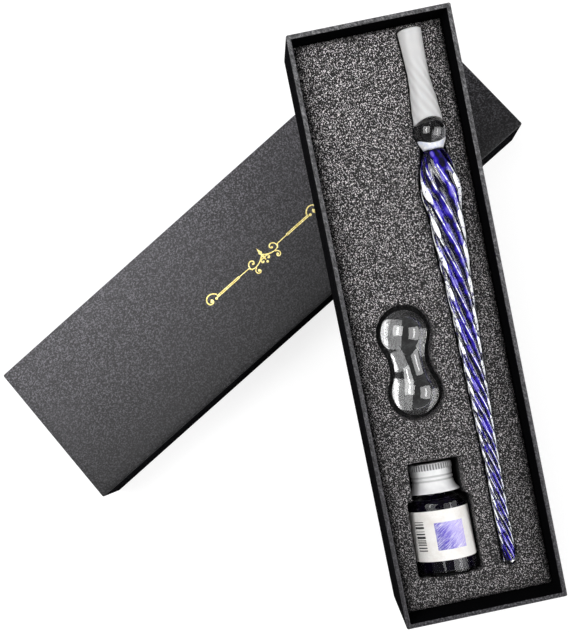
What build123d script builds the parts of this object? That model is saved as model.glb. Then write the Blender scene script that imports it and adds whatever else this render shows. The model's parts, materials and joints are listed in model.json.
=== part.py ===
from build123d import *
import os
from math import asin, atan2, ceil, cos, degrees, hypot, pi, radians, sin, sqrt

# Glass dip pen set in a lid-and-tray gift box, laid out as for display.
# Millimetres, +Z up. The lid stands closed side up on the table with its long side along X.
# The open tray leans on the lid's lower long edge and on one of its own bottom corners.
# The origin is under the middle of the whole layout, on the table.

# Lid. The pen and its sleeve, with room at both ends, give the length of both boxes
LID_WIDTH = 62.3
LID_HEIGHT = 21.2

# Tray, which the lid closes over with a slip fit
LID_FIT = 0.7
TRAY_HEIGHT = 32.0

# Greyboard and paper of both
BOARD = 1.2
PAPER = 0.2
CORNER_ROUND = 0.5
LID_TURN_IN = 14.0
TRAY_TURN_IN = 14.0
STAY_THICKNESS = 0.1
STAY_LEG = 11.0
LINING_MARGIN = 0.4

# How the tray leans: its centre, turn and gap above the lid's edge
TRAY_ALONG = 27.5
TRAY_DOWN = 27.4
TRAY_TURN = 30.0
LEAN_GAP = 0.2

# Foam: a cut top layer on a thick base layer
FOAM_BELOW_RIM = 8.0
FOAM_TOP_THICKNESS = 7.0
FOAM_SLIP = 0.15
FOAM_EDGE_ROUND = 3.0
FOAM_UNDER_BOTTLE = 2.0

# Pen, measured from the middle of its ball towards the tail (+) and the nib (-)
PEN_FROM_SIDE = 12.35
SLEEVE_FROM_END = 2.8
TAIL_FROM_END = 10.688
PEN_ABOVE_FOAM = 0.5
PEN_YAW = 0.7
BALL_RADIUS = 5.5
NIB_START = 4.6
NIB_START_RADIUS = 3.2
NIB_TIP = 30.4
NIB_TIP_RADIUS = 0.35
NIB_FLUTES = 8
NIB_FLUTE_DEPTH = 0.84
NIB_TWIST = 9.0
NIB_RADII = [(8.0, 3.75), (14.0, 3.05), (20.0, 2.25), (26.0, 1.15)]
NECK_START = 3.9
NECK_END = 6.2
NECK_RADIUS = 3.4
BARREL_END = 155.0
BARREL_RADII = [(10.0, 5.1), (15.0, 6.5), (20.6, 7.15), (28.5, 6.05), (40.0, 5.65), (53.0, 4.85),
                (72.0, 4.05), (93.6, 3.4), (126.6, 2.62)]
BARREL_END_RADIUS = 2.4
BARREL_LOBES = 8
BARREL_LOBE_DEPTH = 0.88
BARREL_TWIST = 15.2
TWIST_STEP = 25.0
CORE_SHARE = 0.52
CORE_START_GAP = 1.4
CORE_END_GAP = 3.0
PEN_CLEARANCE = 0.35

# Soft sleeve over the nib: place and outer radius, from its mouth at the ball to its open end
SLEEVE_RADII = [(3.4, 5.15), (10.0, 4.65), (20.5, 3.7), (28.0, 3.85), (36.6, 4.2)]
SLEEVE_WALL = 0.5
SLEEVE_SWING = 1.3
SLEEVE_CLEARANCE = 0.3
SLEEVE_END_ROOM = 1.1

# Pen rest, a flat-based glass peanut
REST_FROM_SIDE = 19.35
REST_FROM_END = 89.1
REST_LENGTH = 38.3
REST_LOBE_RADIUS = 8.35
REST_WAIST_RADIUS = 5.8
REST_FOOT = 3.65
REST_GAP = 1.85
REST_CLEARANCE = 0.3

# Ink bottle, measured from its base along its axis
BOTTLE_FROM_SIDE = 18.65
BOTTLE_FROM_END = 11.0
BOTTLE_TILT = 10.0
BOTTLE_YAW = 2.5
BOTTLE_RADIUS = 11.0
BOTTLE_HEEL = 1.5
BOTTLE_SHOULDER = 24.6
BOTTLE_WALL = 1.2
BOTTLE_BASE = 1.6
SHOULDER_RADIUS = 2.8
NECK_BASE = 28.4
BOTTLE_NECK_RADIUS = 6.3
BOTTLE_BORE = 4.6
MOUTH = 38.2
MOUTH_ROUND = 0.4
THREAD_PITCH = 2.5
THREAD_TURNS = 1.5
THREAD_START = 31.5
THREAD_HEIGHT = 0.55
THREAD_WIDTH = 1.2
INK_AIR = 2.2
BOTTLE_CLEARANCE = 0.3
BOTTLE_SIDE_ROOM = 0.75
CAP_ROOM_BELOW = 1.4

# Cap, measured on the same axis
CAP_LOW = 29.0
CAP_WALL = 0.35
CAP_RADIUS = 7.75
CAP_KNURL_RADIUS = 8.0
CAP_KNURL_HEIGHT = 2.5
CAP_GROOVE_DEPTH = 0.25
CAP_GROOVES = [(4.4, 5.0), (5.9, 6.5)]
CAP_FLARE_RADIUS = 8.4
CAP_FLANGE_RADIUS = 9.4
CAP_FLANGE_HEIGHT = 1.5
CAP_SLIP = 0.1
LINER_THICKNESS = 0.9
LINER_RADIUS = 6.7
CAP_END_ROOM = 1.2

# Label and what is printed on it: places along the axis and angles round it, 0 at the top
LABEL_LOW = 5.6
LABEL_HIGH = 23.2
LABEL_HALF_ANGLE = 125.0
LABEL_PAPER = 0.1
PRINT_FILM = 0.03
SQUARE_LOW = 9.9
SQUARE_HIGH = 19.5
SQUARE_FROM = -20.0
SQUARE_TO = 36.0
BARS_FROM = -62.0
BARS_TO = -31.0
BARS_LOW = 8.6
BAR_SIZES = [0.45, 0.35, 1.0, 0.3, 0.45, 0.9, 0.5, 0.3, 0.35, 0.8, 0.45, 0.35, 0.5]
BAR_SPACE = 0.4

# Foil flourish on the lid
FOIL_THICKNESS = 0.05
FOIL_Y = -2.0
FLOURISH_HALF = 29.5
FOIL_LINE = 0.75
CURL_RADIUS = 2.6
LEAF_LENGTH = 6.6
LEAF_WIDTH = 1.9
LEAF_ANGLES = [12.0, 48.0, 90.0, 132.0, 168.0]
STEM_LOW = -1.4
STEM_END_WIDTH = 0.45
MIDDLE_CURL_X = 6.2
MIDDLE_CURL_RADIUS = 1.5
MIDDLE_CURL_LINE = 0.6
CURL_SWEEP = 290.0
MIDDLE_CURL_SWEEP = 270.0
CURL_DOT = 0.65

WALL = BOARD + 2 * PAPER
TAIL_RADIUS = BARREL_END_RADIUS * BARREL_LOBE_DEPTH
SLEEVE_END = SLEEVE_RADII[-1][0]
TRAY_WIDTH = LID_WIDTH - 2 * (WALL + LID_FIT)
TRAY_LENGTH = 2 * WALL + SLEEVE_FROM_END + SLEEVE_END + BARREL_END + TAIL_RADIUS + TAIL_FROM_END
LID_LENGTH = TRAY_LENGTH + 2 * (WALL + LID_FIT)
SIDE = TRAY_WIDTH / 2 - WALL
END = TRAY_LENGTH / 2 - WALL
FLOOR = 2 * PAPER + BOARD
FOAM_SURFACE = TRAY_HEIGHT - FOAM_BELOW_RIM
FOAM_STEP = FOAM_SURFACE - FOAM_TOP_THICKNESS
PEN_Z = FOAM_SURFACE + PEN_ABOVE_FOAM
CAP_HIGH = MOUTH + CAP_SLIP + LINER_THICKNESS + CAP_SLIP + CAP_WALL
PAST = 40.0


def block(size_x, size_y, low, high):
    """An upright box, centred on the origin."""
    box = Box(size_x, size_y, high - low, align=(Align.CENTER, Align.CENTER, Align.MIN))
    return Pos(0, 0, low) * box


def inset_block(size_x, size_y, inset, low, high):
    return block(size_x - 2 * inset, size_y - 2 * inset, low, high)


def turned(edges):
    """A solid turned about Z from edges in the XZ plane that close on the axis."""
    return revolve(Plane.XZ * make_face(edges), Axis.Z)


def smooth(stations, place):
    """Value at a place on a smooth curve through (place, value) stations, with no overshoot."""
    places = [station[0] for station in stations]
    values = [station[1] for station in stations]
    last = len(places) - 1
    if place <= places[0]:
        return values[0]
    if place >= places[last]:
        return values[last]
    rises = []
    for k in range(last):
        rises.append((values[k + 1] - values[k]) / (places[k + 1] - places[k]))
    slopes = [rises[0]]
    for k in range(1, last):
        same_way = rises[k - 1] * rises[k] > 0
        slopes.append(2 * rises[k - 1] * rises[k] / (rises[k - 1] + rises[k]) if same_way else 0.0)
    slopes.append(rises[-1])
    k = max(i for i in range(last) if places[i] <= place)
    span = places[k + 1] - places[k]
    t = (place - places[k]) / span
    start = (1 + 2 * t) * (1 - t) ** 2 * values[k] + t * (1 - t) ** 2 * span * slopes[k]
    end = t * t * (3 - 2 * t) * values[k + 1] + t * t * (t - 1) * span * slopes[k + 1]
    return start + end


def set_up_box(size_x, size_y, height, turn_in):
    """Board shell, paper wrap, floor lining and corner stays of an open box, base at z 0."""
    rim = height - PAPER
    board = inset_block(size_x, size_y, PAPER, PAPER, rim)
    board -= inset_block(size_x, size_y, PAPER + BOARD, PAPER + BOARD, height)
    ring = inset_block(size_x, size_y, PAPER, PAPER, rim)
    ring -= inset_block(size_x, size_y, PAPER + STAY_THICKNESS, 0, height)
    stays = []
    for side_x in (-1, 1):
        for side_y in (-1, 1):
            corner = Pos(side_x * size_x / 2, side_y * size_y / 2, 0) * block(
                2 * STAY_LEG, 2 * STAY_LEG, 0, height)
            stays.append((ring & corner).solid())
    board -= stays
    wrap = block(size_x, size_y, 0, height)
    wrap = fillet(wrap.edges().filter_by(Axis.Z), CORNER_ROUND)
    wrap -= inset_block(size_x, size_y, PAPER, PAPER, rim)
    wrap -= inset_block(size_x, size_y, WALL, rim - PAPER, height + PAPER)
    fold = inset_block(size_x, size_y, PAPER + BOARD, height - turn_in, height)
    fold -= inset_block(size_x, size_y, WALL, 0, height + PAPER)
    wrap += fold
    lining = inset_block(size_x, size_y, PAPER + BOARD + LINING_MARGIN, PAPER + BOARD, FLOOR)
    return {"board": board, "wrap": wrap, "lining": lining, "corner_stays": Compound(stays)}


def leaf(length, width, angle):
    """A pointed leaf from the origin, as two arcs."""
    tip = (length, 0)
    face = make_face([ThreePointArc((0, 0), (length / 2, width / 2), tip),
                      ThreePointArc((0, 0), (length / 2, -width / 2), tip)])
    return Rot(0, 0, angle) * face


def curl(x, y, radius, line, sweep):
    """An open ring of foil that starts at its lowest point and ends in a dot."""
    outer = CenterArc((x, y), radius, -90, sweep)
    inner = CenterArc((x, y), radius - line, -90, sweep)
    band = make_face([outer, inner, Line(outer @ 0, inner @ 0), Line(outer @ 1, inner @ 1)])
    end = (outer @ 1 + inner @ 1) / 2
    return band + Pos(end.X, end.Y) * Circle(CURL_DOT)


def half_flourish():
    """The right half: stem, end curl, small curl by the middle."""
    low = STEM_LOW
    stem_end = FLOURISH_HALF - CURL_RADIUS
    stem = make_face(Polyline((0, low - FOIL_LINE / 2), (stem_end, low - STEM_END_WIDTH / 2),
                              (stem_end, low + STEM_END_WIDTH / 2), (0, low + FOIL_LINE / 2), close=True))
    end_y = low + CURL_RADIUS - STEM_END_WIDTH / 2
    end_curl = curl(stem_end, end_y, CURL_RADIUS, FOIL_LINE, CURL_SWEEP)
    middle_y = low + MIDDLE_CURL_RADIUS - STEM_END_WIDTH / 2
    middle_curl = curl(MIDDLE_CURL_X, middle_y, MIDDLE_CURL_RADIUS, MIDDLE_CURL_LINE, MIDDLE_CURL_SWEEP)
    return stem + end_curl + middle_curl


def foil_flourish():
    """Foil flourish in one layer on the closed panel of the lid."""
    half = half_flourish()
    flat = half + mirror(half, Plane.YZ)
    for angle in LEAF_ANGLES:
        flat += Pos(0, STEM_LOW) * leaf(LEAF_LENGTH, LEAF_WIDTH, angle)
    flat += Pos(0, STEM_LOW) * Circle(FOIL_LINE)
    return extrude(Pos(0, FOIL_Y, LID_HEIGHT) * flat, FOIL_THICKNESS, dir=(0, 0, 1))


def lid_pieces():
    """Lid with its closed panel up and its rim on the table."""
    parts = set_up_box(LID_LENGTH, LID_WIDTH, LID_HEIGHT, LID_TURN_IN)
    upside_down = Pos(0, 0, LID_HEIGHT) * Rot(180, 0, 0)
    pieces = {"lid_" + name: upside_down * shape for name, shape in parts.items()}
    pieces["lid_foil_flourish"] = foil_flourish()
    return pieces


def lean_of_tray():
    """Angle at which the tray's underside passes over the lid's edge and a corner meets the table."""
    turn = radians(TRAY_TURN)
    reach = TRAY_DOWN + TRAY_LENGTH / 2 * cos(turn) + TRAY_WIDTH / 2 * sin(turn)
    return asin((LID_HEIGHT + LEAN_GAP) / reach)


def tray_location():
    """Where the tray's own frame lies: X across it, Y along it, Z out of its opening."""
    lean = lean_of_tray()
    centre = (TRAY_ALONG, -LID_WIDTH / 2 - TRAY_DOWN * cos(lean),
              LID_HEIGHT + LEAN_GAP - TRAY_DOWN * sin(lean))
    return Location(centre, (degrees(lean), 0, -TRAY_TURN))


def tray_pieces():
    parts = set_up_box(TRAY_WIDTH, TRAY_LENGTH, TRAY_HEIGHT, TRAY_TURN_IN)
    return {"tray_" + name: shape for name, shape in parts.items()}


def pen_location():
    """Where the pen's own frame lies in the tray: Z towards the tail, Y out of the tray."""
    ball = (SIDE - PEN_FROM_SIDE, END - SLEEVE_FROM_END - SLEEVE_END, PEN_Z)
    return Location(ball, (0, 0, -PEN_YAW)) * Location((0, 0, 0), (90, 0, 0))


def barrel_stations():
    first = [(NECK_END, NECK_RADIUS)]
    last = [(BARREL_END, BARREL_END_RADIUS)]
    return first + BARREL_RADII + last


def lobed_wire(radius, place, turn, lobes, depth):
    """A rod's outline: round lobes that meet in sharp valleys."""
    step = 2 * pi / lobes
    arcs = []
    for k in range(lobes):
        middle = turn + k * step
        points = []
        for angle, share in ((middle - step / 2, depth), (middle, 1.0), (middle + step / 2, depth)):
            points.append((radius * share * cos(angle), radius * share * sin(angle), place))
        arcs.append(ThreePointArc(*points))
    return Wire(arcs)


def twisted_rod(stations, twist, lobes, depth, way):
    """A lobed rod whose lobes wind at one angle, so a thinner stretch has a shorter lead."""
    place = stations[0][0]
    end = stations[-1][0]
    turn = 0.0
    wires = []
    while True:
        radius = smooth(stations, place)
        wires.append(lobed_wire(radius, way * place, way * -turn, lobes, depth))
        if place >= end:
            break
        advance = radians(TWIST_STEP) * twist * max(radius, 1.0) / (2 * pi)
        remaining = end - place
        step = remaining / ceil(remaining / advance)
        turn += step * 2 * pi / (twist * max(smooth(stations, place + step / 2), 1.0))
        place = place + step if remaining > 1.01 * step else end
    return Solid.make_loft(wires)


def glass_nib():
    stations = [(NIB_START, NIB_START_RADIUS)] + NIB_RADII + [(NIB_TIP, NIB_TIP_RADIUS)]
    return twisted_rod(stations, NIB_TWIST, NIB_FLUTES, NIB_FLUTE_DEPTH, -1)


def ball_and_neck():
    """Clear ball with the neck that joins it to the barrel."""
    nib_radius = sqrt(BALL_RADIUS ** 2 - NIB_START ** 2)
    neck_radius = sqrt(BALL_RADIUS ** 2 - NECK_START ** 2)
    outline = [Line((0, -NIB_START), (nib_radius, -NIB_START)),
               ThreePointArc((nib_radius, -NIB_START), (BALL_RADIUS, 0), (neck_radius, NECK_START)),
               Line((neck_radius, NECK_START), (NECK_RADIUS, NECK_END)),
               Line((NECK_RADIUS, NECK_END), (0, NECK_END)),
               Line((0, NECK_END), (0, -NIB_START))]
    return turned(outline)


def colour_core():
    """Blue glass inside the barrel, tapered with it and rounded at both ends."""
    stations = barrel_stations()
    start = NECK_END + CORE_START_GAP
    end = BARREL_END - CORE_END_GAP
    places = [start] + [station[0] for station in BARREL_RADII] + [end]
    side = [(CORE_SHARE * smooth(stations, place), place) for place in places]
    outline = [Line((0, start), side[0]), Spline(*side), Line(side[-1], (0, end)), Line((0, end), (0, start))]
    return turned(outline)


def pen_tail():
    """Fire-polished round end of the pen."""
    return turned([Line((0, BARREL_END), (TAIL_RADIUS, BARREL_END)),
                   CenterArc((0, BARREL_END), TAIL_RADIUS, 0, 90),
                   Line((0, BARREL_END + TAIL_RADIUS), (0, BARREL_END))])


def sleeve_side(extra):
    return [(radius + extra, -place) for place, radius in SLEEVE_RADII]


def sleeve_swing():
    """The sleeve hangs a little askew on the nib."""
    return Rot(0, SLEEVE_SWING, 0)


def nib_sleeve():
    outer = sleeve_side(0)
    inner = sleeve_side(-SLEEVE_WALL)
    outline = [Spline(*outer), Line(outer[-1], inner[-1]), Spline(*inner), Line(inner[0], outer[0])]
    return sleeve_swing() * turned(outline)


def pen_pieces():
    core = colour_core()
    barrel = twisted_rod(barrel_stations(), BARREL_TWIST, BARREL_LOBES, BARREL_LOBE_DEPTH, 1)
    pieces = {"pen_nib": glass_nib(), "pen_ball": ball_and_neck(), "pen_barrel": barrel - core,
              "pen_colour_core": core, "pen_tail": pen_tail(), "nib_sleeve": nib_sleeve()}
    return {name: pen_location() * shape for name, shape in pieces.items()}


def pen_slot():
    """Plan of the pen with clearance, as a prism in the pen's own frame from the foam step up."""
    stations = barrel_stations()
    room = PEN_CLEARANCE
    places = [station[0] for station in BARREL_RADII] + [BARREL_END]
    side = [(BALL_RADIUS + room, 0)] + [(smooth(stations, place) + room, place) for place in places]
    other = [(-x, place) for x, place in side]
    end = (0, BARREL_END + TAIL_RADIUS + room)
    barrel_plan = make_face([Spline(*side), ThreePointArc(side[-1], end, other[-1]), Spline(*other),
                             Line(other[0], side[0])])
    ball_plan = Circle(BALL_RADIUS + room)
    mouth = sleeve_side(SLEEVE_CLEARANCE)
    far = (mouth[-1][0], mouth[-1][1] - SLEEVE_END_ROOM)
    right = [Spline(*mouth), Line(mouth[-1], far)]
    left = [mirror(edge, Plane.YZ) for edge in right]
    sleeve_plan = make_face(right + left + [Line(far, (-far[0], far[1])),
                                            Line(mouth[0], (-mouth[0][0], mouth[0][1]))])
    below = PEN_Z - FOAM_STEP
    plan = Plane.XZ * (barrel_plan + ball_plan)
    swung = sleeve_swing() * (Plane.XZ * sleeve_plan)
    slot = extrude(plan, below, dir=(0, -1, 0)) + extrude(swung, below, dir=(0, -1, 0))
    return pen_location() * slot


def peanut_outline(grow):
    """Plan of the rest, or of its pocket, with its two lobes on the Y axis."""
    lobe = REST_LOBE_RADIUS + grow
    centre = REST_LENGTH / 2 - REST_LOBE_RADIUS
    waist = REST_WAIST_RADIUS + grow
    hollow = (centre ** 2 + waist ** 2 - lobe ** 2) / (2 * (lobe - waist))
    reach = hypot(centre, hollow + waist)
    touch = (lobe * (hollow + waist) / reach, centre - lobe * centre / reach)
    return lobe, centre, waist, touch


def rest_place(height):
    return (REST_FROM_SIDE - SIDE, REST_FROM_END - END, height)


def pen_rest():
    """Two round lobes and a hollow waist, turned about the long axis and cut flat underneath."""
    lobe, centre, waist, touch = peanut_outline(0)
    tip = centre + lobe
    touch_angle = degrees(atan2(touch[1] - centre, touch[0]))
    lobe_sweep = 90 - touch_angle
    outline = [CenterArc((0, centre), lobe, touch_angle, lobe_sweep),
               ThreePointArc(touch, (waist, 0), (touch[0], -touch[1])),
               CenterArc((0, -centre), lobe, -90, lobe_sweep),
               Line((0, -tip), (0, tip))]
    peanut = Rot(-90, 0, 0) * turned(outline)
    peanut -= block(REST_LENGTH * 2, REST_LENGTH * 2, -REST_LENGTH, -REST_FOOT)
    return Pos(*rest_place(FOAM_STEP + REST_CLEARANCE + REST_FOOT)) * peanut


def rest_pocket():
    lobe, centre, waist, touch = peanut_outline(REST_GAP)
    corners = [touch, (-touch[0], touch[1]), (-touch[0], -touch[1]), (touch[0], -touch[1])]
    plan = make_face([ThreePointArc(corners[0], (0, centre + lobe), corners[1]),
                      ThreePointArc(corners[1], (-waist, 0), corners[2]),
                      ThreePointArc(corners[2], (0, -centre - lobe), corners[3]),
                      ThreePointArc(corners[3], (waist, 0), corners[0])])
    return Pos(*rest_place(FOAM_STEP)) * extrude(plan, PAST, dir=(0, 0, 1))


def bottle_height():
    """Height of the middle of the bottle's base, so that its lowest edge clears the foam under it."""
    tilt = radians(BOTTLE_TILT)
    lowest = BOTTLE_SHOULDER * sin(tilt) + BOTTLE_RADIUS * cos(tilt)
    return FLOOR + FOAM_UNDER_BOTTLE + BOTTLE_CLEARANCE + lowest


def bottle_location():
    """Where the bottle's own frame lies in the tray: Z towards the cap, -Y upwards."""
    base = (BOTTLE_FROM_SIDE - SIDE, BOTTLE_FROM_END - END, bottle_height())
    place = Location(base, (0, 0, -BOTTLE_YAW))
    return place * Location((0, 0, 0), (-90 - BOTTLE_TILT, 0, 0))


def bottle_inside():
    """Space inside the bottle, from its floor to its mouth."""
    inside = BOTTLE_RADIUS - BOTTLE_WALL
    shoulder = (inside, BOTTLE_SHOULDER - BOTTLE_WALL)
    neck = (BOTTLE_BORE, NECK_BASE - BOTTLE_WALL)
    return turned(Polyline((0, BOTTLE_BASE), (inside, BOTTLE_BASE), shoulder, neck, (BOTTLE_BORE, MOUTH),
                           (0, MOUTH), close=True))


def bottle_glass():
    """Vial with a rounded heel and shoulder, a threaded neck and an open mouth."""
    heel = BOTTLE_HEEL
    body = BOTTLE_RADIUS
    high = BOTTLE_SHOULDER
    slope = (body - SHOULDER_RADIUS, high + SHOULDER_RADIUS)
    outline = [Line((0, 0), (body - heel, 0)),
               CenterArc((body - heel, heel), heel, -90, 90),
               Line((body, heel), (body, high)),
               CenterArc((body - SHOULDER_RADIUS, high), SHOULDER_RADIUS, 0, 90),
               Line(slope, (BOTTLE_NECK_RADIUS, NECK_BASE)),
               Line((BOTTLE_NECK_RADIUS, NECK_BASE), (BOTTLE_NECK_RADIUS, MOUTH)),
               Line((BOTTLE_NECK_RADIUS, MOUTH), (0, MOUTH)),
               Line((0, MOUTH), (0, 0))]
    glass = turned(outline) - bottle_inside()
    lip = glass.edges().filter_by(GeomType.CIRCLE).group_by(Axis.Z)[-1]
    return fillet(lip, MOUTH_ROUND) + neck_thread()


def neck_thread():
    """Helical ridge round the neck, with a little of its foot inside the neck."""
    root = BOTTLE_NECK_RADIUS - THREAD_HEIGHT / 2
    crest = BOTTLE_NECK_RADIUS + THREAD_HEIGHT
    path = Helix(THREAD_PITCH, THREAD_PITCH * THREAD_TURNS, root, center=(0, 0, THREAD_START))
    half = THREAD_WIDTH / 2
    section = make_face(Polyline((root, 0, THREAD_START - half), (crest, 0, THREAD_START - half / 2),
                                 (crest, 0, THREAD_START + half / 2), (root, 0, THREAD_START + half),
                                 close=True))
    return sweep(section, path, is_frenet=True)


def ink_fill():
    """Ink that lies level in the lying bottle, with a little air over it."""
    placed = tray_location() * bottle_location()
    ink = placed * bottle_inside()
    level = ink.bounding_box().max.Z - INK_AIR
    middle = ink.center()
    ink -= Pos(middle.X, middle.Y, 0) * block(2 * MOUTH, 2 * MOUTH, level, level + PAST)
    return placed.inverse() * ink


def cap_outline(inward):
    """Side of the cap from its top down, moved inwards by the wall for the inside."""
    top = CAP_HIGH - inward
    side = [(CAP_KNURL_RADIUS - inward, top), (CAP_KNURL_RADIUS - inward, CAP_HIGH - CAP_KNURL_HEIGHT),
            (CAP_RADIUS - inward, CAP_HIGH - CAP_KNURL_HEIGHT - (CAP_KNURL_RADIUS - CAP_RADIUS))]
    groove = CAP_RADIUS - CAP_GROOVE_DEPTH - inward
    for start, end in CAP_GROOVES:
        side.append((CAP_RADIUS - inward, CAP_HIGH - start))
        side.append((groove, CAP_HIGH - start - CAP_GROOVE_DEPTH))
        side.append((groove, CAP_HIGH - end))
        side.append((CAP_RADIUS - inward, CAP_HIGH - end - CAP_GROOVE_DEPTH))
    flange = CAP_LOW + CAP_FLANGE_HEIGHT
    side.append((CAP_FLARE_RADIUS - inward, flange))
    side.append((CAP_FLANGE_RADIUS - inward, CAP_LOW + CAP_WALL))
    side.append((CAP_FLANGE_RADIUS - inward, CAP_LOW))
    return side


def bottle_cap():
    """Thin aluminium shell with a knurled top ring, rolled grooves and a flared skirt."""
    outer = cap_outline(0)
    inner = cap_outline(CAP_WALL)
    return turned(Polyline((0, CAP_HIGH), *outer, *reversed(inner), (0, CAP_HIGH - CAP_WALL), close=True))


def cap_liner():
    return Pos(0, 0, MOUTH + CAP_SLIP) * Cylinder(LINER_RADIUS, LINER_THICKNESS,
                                                  align=(Align.CENTER, Align.CENTER, Align.MIN))


def label_patch(low, high, start, end, inside, thickness):
    """A patch wrapped on the bottle, between two heights and two angles from the top."""
    face = make_face(Polyline((inside, low), (inside + thickness, low), (inside + thickness, high),
                              (inside, high), close=True))
    patch = revolve(Plane.XZ * face, Axis.Z, end - start)
    return Rot(0, 0, -90 + start) * patch


def label_bars():
    """Plain print bars across the axis."""
    bars = []
    low = BARS_LOW
    for size in BAR_SIZES:
        bars.append(label_patch(low, low + size, BARS_FROM, BARS_TO, BOTTLE_RADIUS + LABEL_PAPER,
                                PRINT_FILM).solid())
        low += size + BAR_SPACE
    return Compound(bars)


def bottle_pieces():
    on_paper = BOTTLE_RADIUS + LABEL_PAPER
    pieces = {
        "bottle_glass": bottle_glass(),
        "ink_fill": ink_fill(),
        "bottle_cap": bottle_cap(),
        "cap_liner": cap_liner(),
        "bottle_label": label_patch(LABEL_LOW, LABEL_HIGH, -LABEL_HALF_ANGLE, LABEL_HALF_ANGLE,
                                    BOTTLE_RADIUS, LABEL_PAPER),
        "label_square": label_patch(SQUARE_LOW, SQUARE_HIGH, SQUARE_FROM, SQUARE_TO, on_paper, PRINT_FILM),
        "label_bars": label_bars(),
    }
    return {name: bottle_location() * shape for name, shape in pieces.items()}


def bottle_recess():
    """Room for the bottle and its cap, cut square to the bottle and open upwards."""
    shoulder = BOTTLE_SHOULDER + SHOULDER_RADIUS
    parts = []
    for radius, side_room, room_below, low, high in (
            (BOTTLE_RADIUS, BOTTLE_SIDE_ROOM, BOTTLE_CLEARANCE, -BOTTLE_CLEARANCE, shoulder),
            (CAP_FLANGE_RADIUS, BOTTLE_CLEARANCE, CAP_ROOM_BELOW, shoulder - 1, CAP_HIGH + CAP_END_ROOM)):
        down = radius + room_below
        box = Box(2 * (radius + side_room), down + PAST, high - low,
                  align=(Align.CENTER, Align.MAX, Align.MIN))
        parts.append(Pos(0, down, low) * box)
    return bottle_location() * (parts[0] + parts[1])


def foam_pieces():
    """Both foam layers, with the cuts that hold the pen, the rest and the bottle."""
    inset = WALL + FOAM_SLIP
    top = inset_block(TRAY_WIDTH, TRAY_LENGTH, inset, FOAM_STEP, FOAM_SURFACE)
    top = fillet(top.edges().group_by(Axis.Z)[-1], FOAM_EDGE_ROUND)
    base = inset_block(TRAY_WIDTH, TRAY_LENGTH, inset, FLOOR, FOAM_STEP)
    recess = bottle_recess()
    top -= [pen_slot(), rest_pocket(), recess]
    base -= recess
    return {"foam_top": top, "foam_base": base}


def all_pieces():
    """Every piece by name, with the origin under the middle of the whole on the table."""
    lid = lid_pieces()
    tray = {}
    for group in (tray_pieces(), foam_pieces(), pen_pieces(), {"pen_rest": pen_rest()}, bottle_pieces()):
        tray.update(group)
    placed = dict(lid)
    for name, shape in tray.items():
        placed[name] = tray_location() * shape
    outside = Compound([placed["lid_wrap"], placed["tray_wrap"]]).bounding_box()
    middle = outside.center()
    to_origin = Pos(-middle.X, -middle.Y, -outside.min.Z)
    return to_origin, {name: to_origin * shape for name, shape in placed.items()}


def write_pieces(pieces):
    os.makedirs("parts", exist_ok=True)
    for name, shape in pieces.items():
        export_step(Compound(shape.solids()), os.path.join("parts", name + ".step"))


TO_ORIGIN, PIECES = all_pieces()
write_pieces(PIECES)
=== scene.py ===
import json
from math import atan2, ceil, cos, degrees, exp, floor, hypot, log, pi, radians, sin, sqrt, tan

import bmesh
import bpy
import numpy as np
from mathutils import Matrix, Vector, noise


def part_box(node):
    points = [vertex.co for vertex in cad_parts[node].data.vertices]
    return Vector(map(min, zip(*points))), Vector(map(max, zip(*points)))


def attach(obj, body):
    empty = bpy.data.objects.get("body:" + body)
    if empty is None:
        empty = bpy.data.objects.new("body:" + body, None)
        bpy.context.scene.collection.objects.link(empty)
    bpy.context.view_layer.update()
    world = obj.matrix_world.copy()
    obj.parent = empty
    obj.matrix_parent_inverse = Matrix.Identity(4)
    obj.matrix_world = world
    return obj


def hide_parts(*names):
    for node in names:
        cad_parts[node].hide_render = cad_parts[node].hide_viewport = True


# A glass dip pen set in its gift box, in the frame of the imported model. The camera looks nearly straight down.
# Lengths in this file are millimetres until they become vertices.
MM = 0.001
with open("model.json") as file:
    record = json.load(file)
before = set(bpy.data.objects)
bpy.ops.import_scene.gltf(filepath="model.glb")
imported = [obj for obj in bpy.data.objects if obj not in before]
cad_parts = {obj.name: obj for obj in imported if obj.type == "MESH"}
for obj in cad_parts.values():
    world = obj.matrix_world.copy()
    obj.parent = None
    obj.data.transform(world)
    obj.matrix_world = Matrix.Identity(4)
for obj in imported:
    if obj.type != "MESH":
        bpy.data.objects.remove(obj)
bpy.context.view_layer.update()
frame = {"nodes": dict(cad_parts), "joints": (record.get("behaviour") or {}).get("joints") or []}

# Camera, fitted to the corners of both boxes
CAMERA_PLACE = (-6.2, -6.03, 349.7)
CAMERA_TURNS = (5.02, 5.15, -41.46)
CAMERA_LENS = 54.60
CAMERA_SENSOR = 36.0

# Boxes
PAPER = 0.2
BOARD = 1.2
TURN_IN = 14.0
WALL = BOARD + 2 * PAPER
EDGE_ROUND = 0.45
RIM_ROUND = 0.35
CORNER_ROUND = 0.7
PANEL_INSET = 4.0
# Rubbing and painted highlight of the tray's rim, at its near end and at its far end
RIM_WEAR_AND_HIGHLIGHT = (0.08, 0.8)

# Half the length of tray over which the foam's painted shade changes
SHADE_REACH = 100.0

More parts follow.
